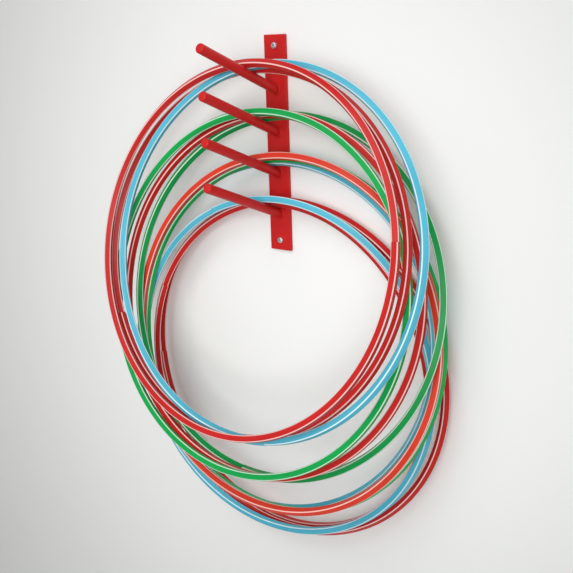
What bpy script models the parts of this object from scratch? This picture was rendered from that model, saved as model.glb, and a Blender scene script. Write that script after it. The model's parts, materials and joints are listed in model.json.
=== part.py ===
"""Wall rack with a dozen gymnastics hoops hung on it.

A flat steel bar is screwed to the wall. Four round pegs are welded to it, sloping up and outward, and
three square-section plastic hoops hang on each. Every hoop is a hollow tube bent into a ring, with its two
ends butted together over a plug that sits inside the bore.

Units are metres. The wall is the plane y = 0, the room is on the -Y side, +Z is up, and the origin is the
middle of the bar's back face.
"""

import math

import bmesh
import bpy
from mathutils import Matrix, Vector

# Gap left between pieces that touch
FIT_GAP = 0.0003

# Flat bar
BAR_LENGTH = 0.415
BAR_WIDTH = 0.050
BAR_THICKNESS = 0.006
BAR_CORNER_RADIUS = 0.0010
BAR_CORNER_SEGMENTS = 2

# Wall screws
SCREW_INSET = 0.020
SCREW_SHANK_RADIUS = 0.0028
SCREW_HOLE_PLAY = 0.0004
SCREW_HEAD_RADIUS = 0.0062
SCREW_HEAD_RIM = 0.0010
SCREW_HEAD_HEIGHT = 0.0042
SCREW_RECESS_LENGTH = 0.0066
SCREW_RECESS_WIDTH = 0.0013
SCREW_RECESS_DEPTH = 0.0018
SCREW_SIDES = 20
SCREW_HEAD_STEPS = 4

# Pegs: the inset runs from the bottom end of the bar to the root of the lowest peg
PEG_COUNT = 4
PEG_BOTTOM_INSET = 0.0735
PEG_PITCH = 0.080
PEG_RADIUS = 0.009
PEG_LENGTH = 0.224
PEG_SLOPE = math.radians(21.0)
PEG_TIP_ROUNDING = 0.0030
PEG_TIP_STEPS = 3
PEG_WELD_LEG = 0.0020
PEG_WELD_REACH = 0.0030
PEG_SIDES = 20

# Hoop tube: size across the ring and the rounded-square section
HOOP_OUTER_DIAMETER = 0.700
SECTION_SIDE = 0.0135
SECTION_CORNER = 0.0025
TUBE_WALL = 0.0020
RING_STEPS = 40
END_GAP = 0.0004

# Plug inside the joint, one ring step to either side of it
PLUG_SIDES = 10

# Where the hoops sit: for each peg the seat nearest the wall and the distance from hoop to hoop, and the play
# that is left between hoop and peg at the tightest point of the hoop's turn
PEG_SEATS = ((0.0630, 0.0163), (0.0370, 0.0168), (0.0205, 0.0179), (0.0165, 0.0176))
SEAT_PLAY = 0.0001

# One row for each hoop: peg, place on it counted from the wall, lean of its foot out from the wall, turn
# about the upright, swing of its foot to the right, clock angle of its joint, roll of the section there and
# twist of the section once round (all in degrees, clock angles counted from the right and upward), and colour
HOOPS = {
    "1_outer": (1, 2, 13.75, -1.0, 3.0, 6.0, 20.0, 75.0, "red"),
    "1_middle": (1, 1, 13.75, 0.75, 9.25, 273.0, 79.0, -150.0, "sky_blue"),
    "1_inner": (1, 0, 13.75, 1.0, 2.25, 205.0, 2.0, -45.0, "red"),
    "2_outer": (2, 2, 12.75, 1.0, 2.75, 96.0, 61.0, 45.0, "green"),
    "2_middle": (2, 1, 12.75, 1.75, 5.5, 210.0, 82.0, 30.0, "red"),
    "2_inner": (2, 0, 12.75, 3.5, 9.25, 255.0, 14.0, 30.0, "deep_green"),
    "3_outer": (3, 2, 9.25, 3.25, 8.5, 22.0, 37.0, -130.0, "orange_red"),
    "3_middle": (3, 1, 9.25, 3.5, 8.25, 95.0, 20.0, -60.0, "sky_blue"),
    "3_inner": (3, 0, 9.5, 4.5, 3.25, 247.0, 50.0, -60.0, "green"),
    "4_outer": (4, 2, 2.75, 4.0, 2.75, 112.0, 78.0, -170.0, "sky_blue"),
    "4_middle": (4, 1, 2.75, 4.25, 5.75, 150.0, 40.0, 15.0, "red"),
    "4_inner": (4, 0, 1.5, -0.25, 0.5, 184.0, 20.0, -70.0, "red"),
}

# Base colour, metallic and roughness of each material
MATERIALS = {
    "rack_paint": ((0.56, 0.015, 0.014), 0.0, 0.38),
    "screw_steel": ((0.62, 0.62, 0.64), 1.0, 0.30),
    "plug_white": ((0.75, 0.75, 0.73), 0.0, 0.55),
    "red": ((0.60, 0.022, 0.020), 0.0, 0.34),
    "orange_red": ((0.74, 0.050, 0.026), 0.0, 0.34),
    "sky_blue": ((0.10, 0.51, 0.68), 0.0, 0.34),
    "green": ((0.009, 0.40, 0.085), 0.0, 0.34),
    "deep_green": ((0.008, 0.32, 0.072), 0.0, 0.34),
}

# Sizes that follow from the ones above
RING_RADIUS = (HOOP_OUTER_DIAMETER - SECTION_SIDE) / 2
HALF_SIDE = SECTION_SIDE / 2
HALF_FLAT = HALF_SIDE - SECTION_CORNER
SECTION_REACH = math.hypot(HALF_SIDE, HALF_FLAT)
BORE_SIDE = SECTION_SIDE - 2 * TUBE_WALL
PLUG_RADIUS = BORE_SIDE / 2 - FIT_GAP
STEP_ANGLE = 2 * math.pi / RING_STEPS
CHORD_SAG = RING_RADIUS * (1 - math.cos(STEP_ANGLE / 2))
SEAT_HEIGHT = PEG_RADIUS + SEAT_PLAY + SECTION_REACH + CHORD_SAG
PEG_DIRECTION = Vector((0, -math.cos(PEG_SLOPE), math.sin(PEG_SLOPE)))


def clear_scene():
    for obj in list(bpy.data.objects):
        bpy.data.objects.remove(obj)


def new_collection(name):
    collection = bpy.data.collections.new(name)
    bpy.context.scene.collection.children.link(collection)
    return collection


def material(name):
    found = bpy.data.materials.get(name)
    if found:
        return found
    colour, metallic, roughness = MATERIALS[name]
    made = bpy.data.materials.new(name)
    made.use_nodes = True
    shader = made.node_tree.nodes["Principled BSDF"]
    shader.inputs["Base Color"].default_value = (*colour, 1.0)
    shader.inputs["Metallic"].default_value = metallic
    shader.inputs["Roughness"].default_value = roughness
    return made


def mesh_object(name, bm, material_name, collection):
    """Wraps a finished bmesh in an object, smooth except along its real edges."""
    mesh = bpy.data.meshes.new(name)
    bmesh.ops.recalc_face_normals(bm, faces=bm.faces)
    if bm.calc_volume(signed=True) < 0:
        bmesh.ops.reverse_faces(bm, faces=bm.faces)
    bm.to_mesh(mesh)
    bm.free()
    mesh.shade_smooth()
    mesh.set_sharp_from_angle(angle=math.radians(30))
    obj = bpy.data.objects.new(name, mesh)
    if material_name:
        mesh.materials.append(material(material_name))
    collection.objects.link(obj)
    return obj


def cutter(name, bm):
    obj = mesh_object(name, bm, None, CUTTERS)
    obj.hide_render = True
    obj.display_type = "WIRE"
    return obj


def cut(obj, tool):
    modifier = obj.modifiers.new(tool.name, "BOOLEAN")
    modifier.operation = "DIFFERENCE"
    modifier.solver = "EXACT"
    modifier.object = tool


def box_mesh(size):
    bm = bmesh.new()
    bmesh.ops.create_cube(bm, size=1.0)
    bmesh.ops.scale(bm, vec=size, verts=bm.verts)
    return bm


def turned_object(name, profile, sides, material_name):
    """A solid of revolution about local Z. The profile runs top to bottom as (radius, height)."""
    bm = bmesh.new()
    verts = [bm.verts.new((radius, 0, height)) for radius, height in profile]
    for upper, lower in zip(verts, verts[1:]):
        bm.edges.new((upper, lower))
    obj = mesh_object(name, bm, material_name, PARTS)
    screw = obj.modifiers.new("Turn", "SCREW")
    screw.axis = "Z"
    screw.angle = 2 * math.pi
    screw.steps = sides
    screw.render_steps = sides
    screw.use_merge_vertices = True
    screw.merge_threshold = 0.00001
    screw.use_smooth_shade = True
    return obj


def arc(centre, radius, start, end, steps):
    """Points of a circular arc from start to end, in degrees, as (radius, height) pairs."""
    angles = [math.radians(start + (end - start) * k / steps) for k in range(steps + 1)]
    return [(centre[0] + radius * math.cos(a), centre[1] + radius * math.sin(a)) for a in angles]


def peg_height(number):
    return PEG_BOTTOM_INSET - BAR_LENGTH / 2 + PEG_PITCH * (PEG_COUNT - number)


def screw_heights():
    reach = BAR_LENGTH / 2 - SCREW_INSET
    return {"top": reach, "bottom": -reach}


def make_bar():
    bm = box_mesh((BAR_WIDTH, BAR_THICKNESS, BAR_LENGTH))
    upright = [e for e in bm.edges if abs(e.verts[0].co.y - e.verts[1].co.y) > BAR_THICKNESS / 2]
    bmesh.ops.bevel(
        bm, geom=upright, offset=BAR_CORNER_RADIUS, segments=BAR_CORNER_SEGMENTS, profile=0.5, affect="EDGES"
    )
    bar = mesh_object("wall_bar", bm, "rack_paint", PARTS)
    bar.location.y = -BAR_THICKNESS / 2
    for name, height in screw_heights().items():
        hole = bmesh.new()
        radius = SCREW_SHANK_RADIUS + SCREW_HOLE_PLAY
        bmesh.ops.create_cone(
            hole, cap_ends=True, segments=SCREW_SIDES, radius1=radius, radius2=radius, depth=4 * BAR_THICKNESS
        )
        tool = cutter(f"hole_{name}", hole)
        tool.rotation_euler.x = math.radians(90)
        tool.location = (0, -BAR_THICKNESS / 2, height)
        cut(bar, tool)


def make_screw(name, height):
    """A domed head standing on the bar's face and a shank through the bar, ending at the wall."""
    dome_height = SCREW_HEAD_HEIGHT - SCREW_HEAD_RIM
    dome_radius = (SCREW_HEAD_RADIUS**2 + dome_height**2) / (2 * dome_height)
    dome_centre = (0, SCREW_HEAD_HEIGHT - dome_radius)
    dome_end = math.degrees(math.acos(SCREW_HEAD_RADIUS / dome_radius))
    profile = arc(dome_centre, dome_radius, 90, dome_end, SCREW_HEAD_STEPS)
    shank_end = -(BAR_THICKNESS + FIT_GAP)
    profile += [
        (SCREW_HEAD_RADIUS, 0),
        (SCREW_SHANK_RADIUS, 0),
        (SCREW_SHANK_RADIUS, shank_end),
        (0, shank_end),
    ]
    screw = turned_object(f"screw_{name}", profile, SCREW_SIDES, "screw_steel")
    screw.rotation_euler.x = math.radians(90)
    screw.location = (0, -(BAR_THICKNESS + FIT_GAP), height)
    slots = {
        "wide": (SCREW_RECESS_LENGTH, 2 * SCREW_RECESS_DEPTH, SCREW_RECESS_WIDTH),
        "tall": (SCREW_RECESS_WIDTH, 2 * SCREW_RECESS_DEPTH, SCREW_RECESS_LENGTH),
    }
    for slot, size in slots.items():
        tool = cutter(f"recess_{slot}_{name}", box_mesh(size))
        tool.location = screw.location - Vector((0, SCREW_HEAD_HEIGHT, 0))
        cut(screw, tool)


def make_root_cutter():
    """A block filling the bar's side of the plane where the pegs meet it."""
    depth = 0.1
    tool = cutter("peg_roots", box_mesh((2 * BAR_WIDTH, depth, 2 * BAR_LENGTH)))
    tool.location.y = depth / 2 - BAR_THICKNESS - FIT_GAP
    return tool


def make_peg(number, root_cutter):
    """A round bar with a softened tip, flared by its weld at the root and cut off parallel to the wall."""
    buried = 2 * PEG_RADIUS * math.tan(PEG_SLOPE)
    flare = PEG_RADIUS + PEG_WELD_LEG
    tip_centre = (PEG_RADIUS - PEG_TIP_ROUNDING, PEG_LENGTH - PEG_TIP_ROUNDING)
    profile = [(0, PEG_LENGTH)]
    profile += arc(tip_centre, PEG_TIP_ROUNDING, 90, 0, PEG_TIP_STEPS)
    profile += [
        (PEG_RADIUS, PEG_WELD_REACH),
        (flare, 0),
        (flare, -buried),
        (0, -buried),
    ]
    peg = turned_object(f"peg_{number}", profile, PEG_SIDES, "rack_paint")
    peg.rotation_euler.x = math.radians(90) - PEG_SLOPE
    peg.location = (0, -BAR_THICKNESS, peg_height(number))
    cut(peg, root_cutter)


def loop_of_edges(bm, points):
    verts = [bm.verts.new(point) for point in points]
    return [bm.edges.new((a, b)) for a, b in zip(verts, verts[1:] + verts[:1])]


def square_loop(bm, half_side, half_flat):
    """A square's outline at the ring's radius. Its corners are cut off where half_flat is the smaller."""
    points = []
    for quarter in range(4):
        turn = Matrix.Rotation(quarter * math.pi / 2, 2)
        for along in sorted({-half_flat, half_flat} if half_flat < half_side else {half_flat}):
            across, up = turn @ Vector((half_side, along))
            points.append((RING_RADIUS + across, 0, up))
    return loop_of_edges(bm, points)


def twist_section(bm, roll, twist):
    """Rolls every cross-section about the tube, the more the further it is from the tube's first end."""
    for vert in bm.verts:
        clock = math.atan2(vert.co.y, vert.co.x) % (2 * math.pi)
        out = math.hypot(vert.co.x, vert.co.y) - RING_RADIUS
        angle = roll + twist * clock / (2 * math.pi)
        out, up = Matrix.Rotation(-angle, 2) @ Vector((out, vert.co.z))
        reach = RING_RADIUS + out
        vert.co = (reach * math.cos(clock), reach * math.sin(clock), up)


def make_tube(name, roll, twist, colour):
    """The hollow section swept round the ring about local Z, with a fine gap where its ends meet."""
    half_gap = END_GAP / 2 / RING_RADIUS
    bm = bmesh.new()
    edges = square_loop(bm, HALF_SIDE, HALF_FLAT) + square_loop(bm, BORE_SIDE / 2, BORE_SIDE / 2)
    bmesh.ops.rotate(bm, verts=bm.verts, matrix=Matrix.Rotation(half_gap, 3, "Z"))
    sweep = 2 * math.pi - 2 * half_gap
    swept = bmesh.ops.spin(bm, geom=edges, axis=(0, 0, 1), angle=sweep, steps=RING_STEPS, use_duplicate=False)
    last = [item for item in swept["geom_last"] if isinstance(item, bmesh.types.BMEdge)]
    for end in (edges, last):
        bmesh.ops.triangle_fill(bm, edges=end, use_beauty=True)
    twist_section(bm, roll, twist)
    return mesh_object(f"hoop_{name}", bm, colour, PARTS)


def make_plug(name):
    """A round rod bent with the tube's bore, one ring step long on each side of the joint."""
    bm = bmesh.new()
    bmesh.ops.create_circle(bm, cap_ends=True, segments=PLUG_SIDES, radius=PLUG_RADIUS)
    bmesh.ops.rotate(bm, verts=bm.verts, matrix=Matrix.Rotation(math.pi / 2, 3, "X"))
    bmesh.ops.translate(bm, verts=bm.verts, vec=(RING_RADIUS, 0, 0))
    bmesh.ops.rotate(bm, verts=bm.verts, matrix=Matrix.Rotation(-STEP_ANGLE, 3, "Z"))
    rim = list(bm.edges)
    swept = bmesh.ops.spin(bm, geom=rim, axis=(0, 0, 1), angle=2 * STEP_ANGLE, steps=2, use_duplicate=False)
    last = [item for item in swept["geom_last"] if isinstance(item, bmesh.types.BMEdge)]
    bmesh.ops.edgeloop_fill(bm, edges=last)
    return mesh_object(f"plug_{name}", bm, "plug_white", PARTS)


def hoop_axis(name, peg, place, lean, turn, swing):
    """An empty at the middle of the hanging hoop, its -Y along the axis on which the hoop turns."""
    first_seat, seat_pitch = PEG_SEATS[peg - 1]
    on_peg = Vector((0, -BAR_THICKNESS, peg_height(peg))) + PEG_DIRECTION * (first_seat + seat_pitch * place)
    hang = Matrix.Rotation(math.radians(turn), 3, "Z")
    hang = hang @ Matrix.Rotation(math.radians(-lean), 3, "X")
    hang = hang @ Matrix.Rotation(math.radians(-swing), 3, "Y")
    up = hang @ Vector((0, 0, 1))
    from_peg = (up - PEG_DIRECTION * up.dot(PEG_DIRECTION)).normalized()
    axis = bpy.data.objects.new(f"axis_{name}", None)
    axis.empty_display_size = 0.05
    axis.matrix_world = Matrix.Translation(on_peg + from_peg * SEAT_HEIGHT - up * RING_RADIUS) @ hang.to_4x4()
    PARTS.objects.link(axis)
    return axis


def make_hoop(name, peg, place, lean, turn, swing, joint_clock, roll, twist, colour):
    axis = hoop_axis(name, peg, place, lean, turn, swing)
    tube = make_tube(name, math.radians(roll), math.radians(twist), colour)
    for piece in (tube, make_plug(name)):
        piece.parent = axis
        piece.rotation_euler = (math.radians(90), -math.radians(joint_clock), 0)


clear_scene()
PARTS = new_collection("hoop_rack")
CUTTERS = new_collection("cutters")
make_bar()
for screw_name, screw_height in screw_heights().items():
    make_screw(screw_name, screw_height)
roots = make_root_cutter()
for peg_number in range(1, PEG_COUNT + 1):
    make_peg(peg_number, roots)
for hoop_name, row in HOOPS.items():
    make_hoop(hoop_name, *row)
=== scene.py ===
# %% [markdown]
# # A wall rack of gymnastics hoops
# A flat steel bar is screwed to the wall, four round pegs slope out of it, and square plastic hoops hang
# on the pegs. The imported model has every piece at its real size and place, but with few faces and plain
# colours. In this lesson each plain solid is replaced by a finer piece in the same place, and each piece
# gets a finish. Every piece rides on the body of the solid it replaces, so the joints keep working.

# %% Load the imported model
import json
import math

import bmesh
import bpy
from mathutils import Matrix, Vector


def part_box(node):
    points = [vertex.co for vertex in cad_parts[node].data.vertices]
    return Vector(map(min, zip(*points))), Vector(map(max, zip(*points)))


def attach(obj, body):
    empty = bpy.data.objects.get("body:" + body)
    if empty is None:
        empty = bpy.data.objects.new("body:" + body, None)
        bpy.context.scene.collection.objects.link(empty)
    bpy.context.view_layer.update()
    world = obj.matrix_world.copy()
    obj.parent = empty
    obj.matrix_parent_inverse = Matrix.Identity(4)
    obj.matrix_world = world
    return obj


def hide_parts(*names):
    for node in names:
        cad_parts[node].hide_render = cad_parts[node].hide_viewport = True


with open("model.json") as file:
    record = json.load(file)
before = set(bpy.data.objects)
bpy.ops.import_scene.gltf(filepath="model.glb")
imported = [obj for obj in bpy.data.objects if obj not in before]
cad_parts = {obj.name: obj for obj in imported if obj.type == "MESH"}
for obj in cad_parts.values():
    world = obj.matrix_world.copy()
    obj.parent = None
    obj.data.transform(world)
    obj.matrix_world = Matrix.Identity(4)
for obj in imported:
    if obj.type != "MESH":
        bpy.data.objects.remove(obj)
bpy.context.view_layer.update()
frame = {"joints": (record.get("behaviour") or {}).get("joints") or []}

joint_of = {joint["child"]: joint for joint in frame["joints"]}

# %% [markdown]
# ## Working with operators
# An operator acts on whatever is selected, so it pays to have three small habits: leave edit mode and
# deselect everything, pick up one piece, and choose points, edges or faces by their place. These helpers
# do that. The finished piece is always left at the origin with its place in its mesh, as the packed
# solids are.

# %% Helpers for picking things up
MERGE_DISTANCE = 0.000005


def let_go():
    if bpy.context.mode != "OBJECT":
        bpy.ops.object.mode_set(mode="OBJECT")
    bpy.ops.object.select_all(action="DESELECT")


def take(piece):
    let_go()
    piece.select_set(True)
    bpy.context.view_layer.objects.active = piece


def choose(piece, kind, test):
    """Goes into edit mode and selects the VERT, EDGE or FACE items that pass the test, and nothing else."""
    take(piece)
    bpy.ops.object.mode_set(mode="EDIT")
    bpy.ops.mesh.select_mode(type=kind)
    bpy.ops.mesh.select_all(action="DESELECT")
    shape = bmesh.from_edit_mesh(piece.data)
    items = {"VERT": shape.verts, "EDGE": shape.edges, "FACE": shape.faces}[kind]
    for item in items:
        if test(item):
            item.select_set(True)
    shape.select_flush_mode()
    bmesh.update_edit_mesh(piece.data)


def reach(edge, axis):
    """How far an edge reaches along the x, y or z axis."""
    start, end = edge.verts
    return abs(getattr(end.co, axis) - getattr(start.co, axis))


def named(name):
    """Names the object that an operator has just added."""
    piece = bpy.context.object
    piece.name = name
    piece.data.name = name
    return piece


def settle(piece):
    """Puts the object's place, turn and scale into its mesh."""
    take(piece)
    bpy.ops.object.transform_apply(location=True, rotation=True, scale=True)


def apply_modifier(piece, kind, **settings):
    take(piece)
    modifier = piece.modifiers.new(kind.title(), kind)
    for key, value in settings.items():
        setattr(modifier, key, value)
    bpy.ops.object.modifier_apply(modifier=modifier.name)


def smooth(piece, degrees=35):
    take(piece)
    bpy.ops.object.shade_smooth_by_angle(angle=math.radians(degrees))


def outward(piece):
    """Merges doubled points and turns every face outwards."""
    choose(piece, "VERT", lambda vert: True)
    bpy.ops.mesh.remove_doubles(threshold=MERGE_DISTANCE)
    bpy.ops.mesh.normals_make_consistent(inside=False)
    let_go()


def hand_in(piece, body, node, finish):
    """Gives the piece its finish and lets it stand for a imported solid, on the same body."""
    piece.data.materials.clear()
    piece.data.materials.append(finish)
    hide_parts(node)
    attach(piece, body)


# %% [markdown]
# ## Camera, wall and light
# The rack was seen from the right, a little above the pegs, looking down. A short telephoto lens keeps
# the far hoops nearly as large as the near ones. The camera is turned in the order a tripod head works:
# pan, tilt, roll.

# %% Camera
CAMERA_PLACE = (1.0301, -1.3302, 0.1749)
CAMERA_PAN = math.radians(37.59)
CAMERA_TILT = math.radians(-15.31)
CAMERA_ROLL = math.radians(-1.82)
CAMERA_LENS = 53.81

let_go()
bpy.ops.object.camera_add(location=CAMERA_PLACE)
camera = named("camera")
camera.data.sensor_width = 36.0
camera.data.lens = CAMERA_LENS
turn = Matrix.Rotation(CAMERA_PAN, 3, "Z") @ Matrix.Rotation(math.radians(90) + CAMERA_TILT, 3, "X")
camera.rotation_euler = (turn @ Matrix.Rotation(CAMERA_ROLL, 3, "Z")).to_euler()
bpy.context.scene.camera = camera
bpy.context.scene.view_settings.view_transform = "Standard"
print("lens", camera.data.lens, "mm")

# %% [markdown]
# ## Building a finish from nodes
# Every finish in this file is a small network of nodes. Writing one line for each node keeps it readable:
# settings such as a blend mode go in by name, and a value in the inputs is either a number or another
# node's output.

# %% Helpers for nodes
def new_finish(name):
    finish = bpy.data.materials.new(name)
    finish.use_nodes = True
    return finish, finish.node_tree, finish.node_tree.nodes["Principled BSDF"]


def node(tree, kind, inputs=None, **settings):
    made = tree.nodes.new("ShaderNode" + kind)
    for key, value in settings.items():
        setattr(made, key, value)
    for key, value in (inputs or {}).items():
        feed(tree, made.inputs[key], value)
    return made


def feed(tree, socket, value):
    if isinstance(value, bpy.types.NodeSocket):
        tree.links.new(value, socket)
    else:
        socket.default_value = value


def shade_of(colour, factor):
    return (*(min(1.0, part * factor) for part in colour), 1.0)


def mixed(tree, factor, first, second):
    """A colour between two others."""
    mix = node(tree, "Mix", data_type="RGBA")
    for socket, value in zip((mix.inputs[0], mix.inputs[6], mix.inputs[7]), (factor, first, second)):
        feed(tree, socket, value)
    return mix.outputs[2]


def tinted(tree, shader, tone, colour, low, high):
    """Lets the base colour wander between two shades of one colour."""
    shades = mixed(tree, tone, shade_of(colour, low), shade_of(colour, high))
    feed(tree, shader.inputs["Base Color"], shades)


def between(tree, value, low, high, to_low, to_high, kind="SMOOTHSTEP"):
    """Maps a value from one range to another, with soft ends."""
    inputs = {"Value": value, "From Min": low, "From Max": high, "To Min": to_low, "To Max": to_high}
    return node(tree, "MapRange", inputs, interpolation_type=kind).outputs["Result"]


def noise(tree, place, stretch, detail=2.0, roughness=0.5):
    """Noise on a place in metres. Stretch is how many lumps there are in a metre along each axis."""
    scaled = node(tree, "VectorMath", {0: place, 1: stretch}, operation="MULTIPLY").outputs["Vector"]
    inputs = {"Vector": scaled, "Scale": 1.0, "Detail": detail, "Roughness": roughness}
    return node(tree, "TexNoise", inputs).outputs["Fac"]


def bumped(tree, shader, height, strength, depth):
    bump = node(tree, "Bump", {"Height": height, "Strength": strength, "Distance": depth})
    feed(tree, shader.inputs["Normal"], bump.outputs["Normal"])


# %% [markdown]
# The wall is plain pale emulsion with the faint stipple of a roller. Seen from behind it would hide the
# rack, so its material is see-through on its back, and it is left open behind the bar, where only the
# bar's back shows. A pale floor lies well below the hoops, out of the camera's view.

# %% Wall and floor
WALL_WIDTH = 9.0
WALL_GAP = 0.0006
WALL_LAP = 0.004
FLOOR_DROP = 1.75
WALL_COLOUR = (0.88, 0.888, 0.875)

wall_paint, tree, shader = new_finish("wall_emulsion")
place = node(tree, "TexCoord").outputs["Object"]
stipple = noise(tree, place, (160, 160, 160), detail=3)
cloudy = noise(tree, place, (0.9, 0.9, 0.9), detail=1)
tone = between(tree, cloudy, 0.3, 0.7, 0.0, 1.0)
tinted(tree, shader, tone, WALL_COLOUR, 0.975, 1.0)
shader.inputs["Roughness"].default_value = 0.85
bumped(tree, shader, stipple, 0.08, 0.0006)
clear_back = node(tree, "MixShader")
feed(tree, clear_back.inputs[0], node(tree, "NewGeometry").outputs["Backfacing"])
feed(tree, clear_back.inputs[1], shader.outputs["BSDF"])
feed(tree, clear_back.inputs[2], node(tree, "BsdfTransparent").outputs["BSDF"])
feed(tree, tree.nodes["Material Output"].inputs["Surface"], clear_back.outputs["Shader"])

bar_low, bar_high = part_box("wall_bar")
bar_size = bar_high - bar_low
open_size = (bar_size.x - 2 * WALL_LAP, bar_size.z - 2 * WALL_LAP, 1)
let_go()
bpy.ops.mesh.primitive_plane_add(size=1, rotation=(math.radians(90), 0, 0), location=(0, WALL_GAP, 0))
wall = named("wall")
wall.scale = open_size
settle(wall)
choose(wall, "EDGE", lambda edge: True)
bpy.ops.mesh.delete(type="ONLY_FACE")
choose(wall, "EDGE", lambda edge: True)
bpy.ops.mesh.extrude_edges_move()
bpy.ops.transform.resize(value=(WALL_WIDTH / open_size[0], 1, WALL_WIDTH / open_size[1]))
choose(wall, "FACE", lambda face: face.normal.y > 0)
bpy.ops.mesh.flip_normals()
let_go()
bpy.ops.mesh.primitive_plane_add(size=WALL_WIDTH, location=(0, WALL_GAP - WALL_WIDTH / 2, -FLOOR_DROP))
floor = named("floor")
for stage in (wall, floor):
    settle(stage)
    stage.data.materials.append(wall_paint)
print("wall faces", {tuple(round(part) for part in face.normal) for face in wall.data.polygons})

# %% [markdown]
# The light is that of a bright room: a wide soft lamp high up in front of the wall, a stronger one on the
# right, near the camera, and an even glow from all round. Both lamps have a narrowed spread, so the
# middle of the wall is the brightest and it falls off gently to the corners. Mirror-like reflections see
# less of the glow, so the colours stay deep.

# %% Lamps and glow
# Each lamp's place, the point it is turned to, its width, its watts and its spread in degrees.
LAMPS = {
    "window_light": ((0.1, -1.7, 1.3), (0.0, -0.05, -0.36), 1.6, 3.7, 70),
    "room_light": ((0.9, -1.9, 0.0), (-0.06, -0.05, -0.31), 1.4, 4.2, 68),
}
GLOW = 0.50
GLOW_IN_REFLECTIONS = 0.18


def add_lamp(name, spot, target, width, watts, spread):
    let_go()
    bpy.ops.object.light_add(type="AREA", location=spot)
    lamp = named(name)
    lamp.data.shape = "DISK"
    lamp.data.size = width
    lamp.data.energy = watts
    lamp.data.spread = math.radians(spread)
    lamp.rotation_euler = (Vector(target) - Vector(spot)).to_track_quat("-Z", "Y").to_euler()


for lamp_name, lamp_row in LAMPS.items():
    add_lamp(lamp_name, *lamp_row)
world = bpy.data.worlds.new("room")
world.use_nodes = True
tree = world.node_tree
tree.nodes["Background"].inputs["Color"].default_value = (1.0, 1.0, 1.0, 1.0)
mirrored = node(tree, "LightPath").outputs["Is Glossy Ray"]
strength = between(tree, mirrored, 0.0, 1.0, GLOW, GLOW_IN_REFLECTIONS, "LINEAR")
feed(tree, tree.nodes["Background"].inputs["Strength"], strength)
bpy.context.scene.world = world
print(len(LAMPS), "lamps")

# %% [markdown]
# ## The rack's finishes
# The steel is coated with gloss red paint. Sprayed paint is never quite flat: it has a fine ripple,
# called orange peel, and its red is a touch deeper where the coat is thick. The screws are plated steel,
# which has a pale bloom over the metal and a slightly uneven shine.

# %% Red paint and plated steel
PAINT_RED = (0.56, 0.015, 0.014)
PLATED_STEEL = (0.62, 0.62, 0.64)

red_paint, tree, shader = new_finish("red_paint")
place = node(tree, "TexCoord").outputs["Object"]
peel = noise(tree, place, (420, 420, 420), detail=1)
coat = noise(tree, place, (38, 38, 38), detail=4, roughness=0.6)
depth = between(tree, coat, 0.3, 0.7, 0.0, 1.0)
tinted(tree, shader, depth, PAINT_RED, 0.95, 1.02)
feed(tree, shader.inputs["Roughness"], between(tree, coat, 0.3, 0.7, 0.34, 0.42))
bumped(tree, shader, peel, 0.06, 0.0002)
shader.inputs["Specular IOR Level"].default_value = 0.2

plated, tree, shader = new_finish("plated_steel")
place = node(tree, "TexCoord").outputs["Object"]
spots = noise(tree, place, (900, 900, 900), detail=4, roughness=0.6)
dull = between(tree, spots, 0.35, 0.65, 0.0, 1.0)
tinted(tree, shader, dull, PLATED_STEEL, 0.9, 1.25)
feed(tree, shader.inputs["Roughness"], between(tree, spots, 0.3, 0.7, 0.18, 0.38))
bumped(tree, shader, spots, 0.06, 0.0001)
shader.inputs["Metallic"].default_value = 0.7
print("finishes:", red_paint.name, plated.name)

# %% [markdown]
# ## The bar
# The bar is a length of flat steel, sawn off square, with its corners and edges softened. A cube at the
# bar's size is the start. Its four short edges are bevelled for the corners, then the long outlines more
# narrowly, and the two screw holes are cut by Boolean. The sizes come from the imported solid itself.

# %% Flat bar
CORNER_RADIUS = 0.001
EDGE_ROUNDING = 0.0006
HOLE_RADIUS = 0.0032
SCREW_INSET = 0.020

bar_face = bar_low.y
let_go()
bpy.ops.mesh.primitive_cube_add(size=1, location=(bar_low + bar_high) / 2, scale=bar_size)
bar = named("flat_bar")
settle(bar)
choose(bar, "EDGE", lambda edge: reach(edge, "y") > bar_size.y / 2)
bpy.ops.mesh.bevel(offset=CORNER_RADIUS, segments=4, affect="EDGES")
choose(bar, "FACE", lambda face: abs(face.normal.y) > 0.9)
bpy.ops.mesh.region_to_loop()
bpy.ops.mesh.bevel(offset=EDGE_ROUNDING, segments=3, affect="EDGES")
screw_height = {"top": bar_high.z - SCREW_INSET, "bottom": bar_low.z + SCREW_INSET}
for height in screw_height.values():
    let_go()
    bpy.ops.mesh.primitive_cylinder_add(
        vertices=48, radius=HOLE_RADIUS, depth=4 * bar_size.y,
        rotation=(math.radians(90), 0, 0), location=(0, bar_face, height),
    )
    drill = named("drill")
    apply_modifier(bar, "BOOLEAN", operation="DIFFERENCE", solver="EXACT", object=drill)
    bpy.data.objects.remove(drill)
smooth(bar)
hand_in(bar, "rack", "wall_bar", red_paint)
print("bar has", len(bar.data.polygons), "faces")

# %% [markdown]
# ## The screws
# Each screw has a domed head with a cross recess. A cylinder at the head's size gets its dome by a wide
# bevel of the top rim, the underside is inset and extruded for the shank, and a cross made of two tapered
# blades is cut out of the top. One screw is modelled and copied.

# %% Wall screw
HEAD_RADIUS = 0.0062
HEAD_HEIGHT = 0.0042
HEAD_DOME = 0.0033
SHANK_RADIUS = 0.0028
FIT_GAP = 0.0003
RECESS = (0.0068, 0.0014, 0.0040)
RECESS_TAPER = (0.45, 0.8, 1.0)

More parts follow.
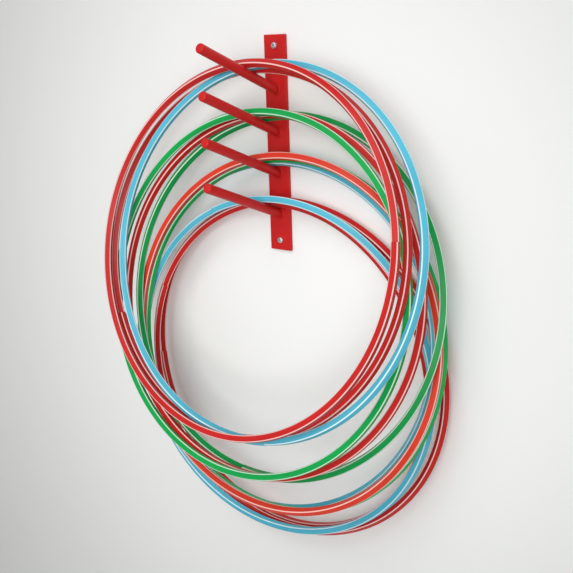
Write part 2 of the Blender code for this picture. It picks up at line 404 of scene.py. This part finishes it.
let_go()
bpy.ops.mesh.primitive_cylinder_add(
    vertices=48, radius=HEAD_RADIUS, depth=HEAD_HEIGHT, location=(0, 0, HEAD_HEIGHT / 2)
)
screw = named("screw_pattern")
settle(screw)
choose(screw, "FACE", lambda face: face.normal.z > 0.9)
bpy.ops.mesh.region_to_loop()
bpy.ops.mesh.bevel(offset=HEAD_DOME, segments=8, affect="EDGES")
choose(screw, "FACE", lambda face: face.normal.z < -0.9)
bpy.ops.mesh.inset(thickness=HEAD_RADIUS - SHANK_RADIUS)
bpy.ops.mesh.extrude_region_move(TRANSFORM_OT_translate={"value": (0, 0, -(bar_size.y + FIT_GAP))})
for turned in (0, 90):
    let_go()
    bpy.ops.mesh.primitive_cube_add(size=1, location=(0, 0, HEAD_HEIGHT), scale=RECESS)
    blade = named("blade")
    settle(blade)
    choose(blade, "FACE", lambda face: face.normal.z < -0.9)
    bpy.ops.transform.resize(value=RECESS_TAPER)
    let_go()
    blade.rotation_euler.z = math.radians(turned)
    settle(blade)
    apply_modifier(screw, "BOOLEAN", operation="DIFFERENCE", solver="EXACT", object=blade)
    bpy.data.objects.remove(blade)
smooth(screw, 40)

# %% Two copies of it, through the bar
for end, height in screw_height.items():
    take(screw)
    bpy.ops.object.duplicate()
    copy = named(f"wall_screw_{end}")
    copy.rotation_euler = (math.radians(90), 0, 0)
    copy.location = (0, bar_face - FIT_GAP, height)
    settle(copy)
    hand_in(copy, "rack", f"screw_{end}", plated)
    print(copy.name, "is at height", round(height, 4))
bpy.data.objects.remove(screw)

# %% [markdown]
# ## The pegs
# A peg is a length of round bar. A cylinder is added, its far rim is bevelled round, the bar is turned to
# its slope and moved to its place, and a bisect cuts its root off flat against the bar. The weld round
# the root is a torus, pressed in at every third ring for the ripples a welder leaves, stretched to the
# slanted outline, and trimmed at the bar's face. It is a piece of its own, in the same paint.

# %% Pegs with their welds
PEG_COUNT = 4
PEG_BOTTOM_INSET = 0.0735
PEG_PITCH = 0.080
PEG_RADIUS = 0.009
PEG_LENGTH = 0.224
PEG_SLOPE = math.radians(21.0)
TIP_ROUNDING = 0.0030
PEG_BURIED = 0.012
WELD_RADIUS = 0.0021
WELD_RINGS = 66
WELD_RIPPLE = 0.00045
WELD_TRIM = 0.00005
RINGS_IN_A_RIPPLE = 3


def make_rod(name, height):
    let_go()
    bpy.ops.mesh.primitive_cylinder_add(
        vertices=64, radius=PEG_RADIUS, depth=PEG_LENGTH + PEG_BURIED,
        location=(0, 0, (PEG_LENGTH - PEG_BURIED) / 2),
    )
    rod = named(name)
    settle(rod)
    choose(rod, "FACE", lambda face: face.normal.z > 0.9)
    bpy.ops.mesh.region_to_loop()
    bpy.ops.mesh.bevel(offset=TIP_ROUNDING, segments=6, affect="EDGES")
    let_go()
    rod.rotation_euler.x = math.radians(90) - PEG_SLOPE
    rod.location = (0, bar_face, height)
    settle(rod)
    choose(rod, "VERT", lambda vert: True)
    bpy.ops.mesh.bisect(
        plane_co=(0, bar_face - FIT_GAP, 0), plane_no=(0, 1, 0), use_fill=True, clear_outer=True
    )
    return rod


def make_weld(name, height):
    let_go()
    bpy.ops.mesh.primitive_torus_add(
        major_segments=WELD_RINGS, minor_segments=12, major_radius=PEG_RADIUS + FIT_GAP,
        minor_radius=WELD_RADIUS, rotation=(math.radians(90), 0, 0),
    )
    weld = named(name)
    step = 2 * math.pi / WELD_RINGS
    choose(weld, "VERT", lambda vert: round(math.atan2(vert.co.y, vert.co.x) / step) % RINGS_IN_A_RIPPLE == 0)
    bpy.ops.transform.shrink_fatten(value=-WELD_RIPPLE)
    let_go()
    weld.scale = (1, 1 / math.cos(PEG_SLOPE), 1)
    weld.location = (0, bar_face, height)
    settle(weld)
    choose(weld, "VERT", lambda vert: True)
    bpy.ops.mesh.bisect(
        plane_co=(0, bar_face - WELD_TRIM, 0), plane_no=(0, 1, 0), use_fill=True, clear_outer=True
    )
    return weld


for number in range(1, PEG_COUNT + 1):
    peg_height = bar_low.z + PEG_BOTTOM_INSET + PEG_PITCH * (PEG_COUNT - number)
    rod = make_rod(f"peg_rod_{number}", peg_height)
    weld = make_weld(f"weld_bead_{number}", peg_height)
    smooth(weld, 60)
    smooth(rod)
    weld.data.materials.append(red_paint)
    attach(weld, "rack")
    hand_in(rod, "rack", f"peg_{number}", red_paint)
    print(rod.name, "at height", round(peg_height, 4))

# %% [markdown]
# ## The hoops' finishes
# The hoops are extruded plastic, one colour right through. Extruding leaves very fine lines along the
# tube and an even gloss. Along the rounded corners a pale colour is painted as a highlight, for the bright
# lines that light makes there, and there are faint scuffs. All of this follows the tube, so the nodes read
# an attribute that remembers where each point lay while the tube was still straight.

# %% Plastics
TUBE_PLACE = "straight_tube"
SECTION_SIDE = 0.0135
SECTION_CORNER = 0.0025
HALF_FLAT = SECTION_SIDE / 2 - SECTION_CORNER
# How far from the tube's middle the painted corner highlight starts, and where it is full.
CORNER_HIGHLIGHT_STARTS = HALF_FLAT + 0.0003
CORNER_HIGHLIGHT_FULL = HALF_FLAT + 0.0008


def plastic(name, colour, highlight_and_scuff_tint):
    finish, tree, shader = new_finish(name)
    place = node(tree, "Attribute", attribute_name=TUBE_PLACE).outputs["Vector"]
    lines = noise(tree, place, (6, 900, 900), detail=2)
    cloud = noise(tree, place, (7, 60, 60), detail=2)
    marks = noise(tree, place, (45, 420, 420), detail=6, roughness=0.65)
    parts = node(tree, "SeparateXYZ", {0: place})
    across = node(tree, "Math", {0: parts.outputs["Y"]}, operation="ABSOLUTE").outputs[0]
    up = node(tree, "Math", {0: parts.outputs["Z"]}, operation="ABSOLUTE").outputs[0]
    inner = node(tree, "Math", {0: across, 1: up}, operation="MINIMUM").outputs[0]
    # Painted highlight: the corners are made pale, standing in for the bright lines that light makes on them.
    painted_highlight_mask = between(tree, inner, CORNER_HIGHLIGHT_STARTS, CORNER_HIGHLIGHT_FULL, 0.0, 0.85)
    scuff = between(tree, marks, 0.62, 0.76, 0.0, 0.08)
    tone = between(tree, cloud, 0.3, 0.7, 0.0, 1.0)
    base = mixed(tree, tone, shade_of(colour, 0.80), shade_of(colour, 0.92))
    # The pale tint serves both the painted corner highlight and the real scuffs.
    with_corner_highlight = mixed(tree, painted_highlight_mask, base, (*highlight_and_scuff_tint, 1.0))
    feed(tree, shader.inputs["Base Color"], mixed(tree, scuff, with_corner_highlight, (*highlight_and_scuff_tint, 1.0)))
    feed(tree, shader.inputs["Roughness"], between(tree, marks, 0.35, 0.75, 0.28, 0.42))
    bumped(tree, shader, lines, 0.06, 0.0002)
    shader.inputs["IOR"].default_value = 1.45
    shader.inputs["Specular IOR Level"].default_value = 0.2
    return finish


# The third colour is the pale tint of the painted corner highlights, and of the scuffs.
PLASTICS = {
    "red": plastic("red_plastic", (0.60, 0.022, 0.020), (0.95, 0.66, 0.62)),
    "orange_red": plastic("orange_red_plastic", (0.74, 0.050, 0.026), (0.95, 0.66, 0.58)),
    "sky_blue": plastic("sky_blue_plastic", (0.10, 0.51, 0.68), (0.78, 0.91, 0.95)),
    "green": plastic("green_plastic", (0.009, 0.40, 0.085), (0.70, 0.93, 0.76)),
    "deep_green": plastic("deep_green_plastic", (0.008, 0.32, 0.072), (0.68, 0.90, 0.74)),
}
print("plastics:", ", ".join(PLASTICS))

# %% [markdown]
# ## One straight tube
# A hoop starts as a straight tube, as the real one does. A square face gets rounded corners by bevelling
# its points, an inset and a deleted face open the bore, and one long extrude makes the tube. It is then
# cut into many short lengths, so that it can bend smoothly. Before any bending, the attribute stores
# every point's place.

# %% Straight tube
HOOP_DIAMETER = 0.700
TUBE_WALL = 0.0020
END_GAP = 0.0004
RING_RADIUS = (HOOP_DIAMETER - SECTION_SIDE) / 2
TUBE_LENGTH = 2 * math.pi * RING_RADIUS - END_GAP
CORNER_SHAPE = 0.31
TUBE_CUTS = (15, 14)

let_go()
bpy.ops.mesh.primitive_plane_add(
    size=SECTION_SIDE, rotation=(0, math.radians(90), 0), location=(-TUBE_LENGTH / 2, 0, 0)
)
straight = named("straight_tube")
settle(straight)
choose(straight, "VERT", lambda vert: True)
bpy.ops.mesh.bevel(offset=SECTION_CORNER, segments=5, profile=CORNER_SHAPE, affect="VERTICES")
choose(straight, "FACE", lambda face: True)
bpy.ops.mesh.inset(thickness=TUBE_WALL)
bpy.ops.mesh.delete(type="FACE")
choose(straight, "FACE", lambda face: True)
bpy.ops.mesh.extrude_region_move(TRANSFORM_OT_translate={"value": (TUBE_LENGTH, 0, 0)})
for cuts in TUBE_CUTS:
    choose(straight, "EDGE", lambda edge: reach(edge, "x") > TUBE_WALL / 2)
    bpy.ops.mesh.subdivide(number_cuts=cuts)
outward(straight)
remembered = straight.data.attributes.new(TUBE_PLACE, "FLOAT_VECTOR", "POINT")
for index, vert in enumerate(straight.data.vertices):
    remembered.data[index].vector = vert.co
print("straight tube:", round(straight.dimensions.x, 4), "m,", len(straight.data.polygons), "faces")

# %% [markdown]
# ## Twelve hoops
# A straight tube bends into a ring by two Simple Deform modifiers. The first twists it a little, because
# coiled plastic never keeps its section level, which makes the bright corner lines wander round the hoop.
# The second bends it through a full circle. The ring is then turned so that the meeting ends lie where
# they should, and set on its packed joint, which gives its middle and its axis.

# %% Hoops
# Where each joint lies, in degrees on the hoop's clock, the section's roll and twist, and the colour.
HOOPS = {
    "1_outer": (9.0, 20.0, 75.0, "red"),
    "1_middle": (282.25, 79.0, -150.0, "sky_blue"),
    "1_inner": (207.25, 2.0, -45.0, "red"),
    "2_outer": (98.75, 61.0, 45.0, "green"),
    "2_middle": (215.5, 82.0, 30.0, "red"),
    "2_inner": (264.25, 14.0, 30.0, "deep_green"),
    "3_outer": (30.5, 37.0, -130.0, "orange_red"),
    "3_middle": (103.25, 20.0, -60.0, "green"),
    "3_inner": (250.25, 50.0, -60.0, "sky_blue"),
    "4_outer": (114.75, 78.0, -170.0, "sky_blue"),
    "4_middle": (155.75, 40.0, 15.0, "red"),
    "4_inner": (184.5, 20.0, -70.0, "red"),
}


def hang(ring, name, clock):
    """Sets a bent ring on its joint, turned to a clock angle. Its middle is one radius above its origin."""
    joint = joint_of[f"ring_{name}"]
    axis = Vector(joint["axis"]).normalized()
    right = axis.cross(Vector((0, 0, -1))).normalized()
    frame_turn = Matrix((right, axis.cross(right), axis)).transposed().to_4x4()
    to_middle = Matrix.Translation(joint["pos_m"]) @ frame_turn
    clock_turn = Matrix.Rotation(math.radians(clock), 4, "Z")
    ring.matrix_world = to_middle @ clock_turn @ Matrix.Translation((0, -RING_RADIUS, 0))
    settle(ring)


def bend(piece, length):
    """Bends a straight length about the Z axis to the hoop's curve."""
    angle = length / RING_RADIUS
    apply_modifier(piece, "SIMPLE_DEFORM", deform_method="BEND", deform_axis="Z", angle=angle)


def bend_tube(name, clock, roll, twist):
    take(straight)
    bpy.ops.object.duplicate()
    tube = named(f"tube_{name}")
    tube.rotation_euler.x = math.radians(roll + twist / 2)
    settle(tube)
    apply_modifier(tube, "SIMPLE_DEFORM", deform_method="TWIST", deform_axis="X", angle=math.radians(twist))
    bend(tube, TUBE_LENGTH)
    hang(tube, name, clock - 90)
    return tube


for hoop_name, (clock, roll, twist, colour) in HOOPS.items():
    tube = bend_tube(hoop_name, clock, roll, twist)
    smooth(tube, 40)
    apply_modifier(tube, "WEIGHTED_NORMAL", keep_sharp=True, weight=100)
    hand_in(tube, f"ring_{hoop_name}", f"hoop_{hoop_name}", PLASTICS[colour])
    print(tube.name, "spans", [round(size, 3) for size in tube.dimensions])
bpy.data.objects.remove(straight)

# %% [markdown]
# ## The plugs inside the joints
# Each hoop's ends are held together by a short round plug pushed into the bore. It hardly shows, but it
# is a real piece. A cylinder is laid along the tube, cut into short lengths, chamfered at both ends, and
# bent to the hoop's curve.

# %% Plugs
PLUG_RADIUS = 0.00445
PLUG_HALF_ANGLE = math.radians(9)
PLUG_LENGTH = 2 * RING_RADIUS * PLUG_HALF_ANGLE
PLUG_CHAMFER = 0.0010
PLUG_CUTS = 15
PLUG_COLOUR = (0.75, 0.75, 0.73)

moulded, tree, shader = new_finish("moulded_plug")
place = node(tree, "TexCoord").outputs["Object"]
grain = noise(tree, place, (700, 700, 700), detail=3)
tone = between(tree, grain, 0.3, 0.7, 0.0, 1.0)
tinted(tree, shader, tone, PLUG_COLOUR, 0.94, 1.03)
feed(tree, shader.inputs["Roughness"], between(tree, grain, 0.3, 0.7, 0.48, 0.62))
bumped(tree, shader, grain, 0.06, 0.0001)

let_go()
bpy.ops.mesh.primitive_cylinder_add(
    vertices=32, radius=PLUG_RADIUS, depth=PLUG_LENGTH, rotation=(0, math.radians(90), 0)
)
plug = named("straight_plug")
settle(plug)
choose(plug, "FACE", lambda face: abs(face.normal.x) > 0.9)
bpy.ops.mesh.region_to_loop()
bpy.ops.mesh.bevel(offset=PLUG_CHAMFER, segments=3, affect="EDGES")
choose(plug, "EDGE", lambda edge: reach(edge, "x") > PLUG_LENGTH / 2)
bpy.ops.mesh.subdivide(number_cuts=PLUG_CUTS)
for hoop_name, (clock, *_) in HOOPS.items():
    take(plug)
    bpy.ops.object.duplicate()
    copy = named(f"dowel_{hoop_name}")
    bend(copy, PLUG_LENGTH)
    hang(copy, hoop_name, clock + 90)
    smooth(copy)
    hand_in(copy, f"ring_{hoop_name}", f"plug_{hoop_name}", moulded)
bpy.data.objects.remove(plug)
print(len(HOOPS), "plugs")

# %% [markdown]
# ## The end
# The dressed rack has to be the size of the imported one.

# %% Let go
let_go()
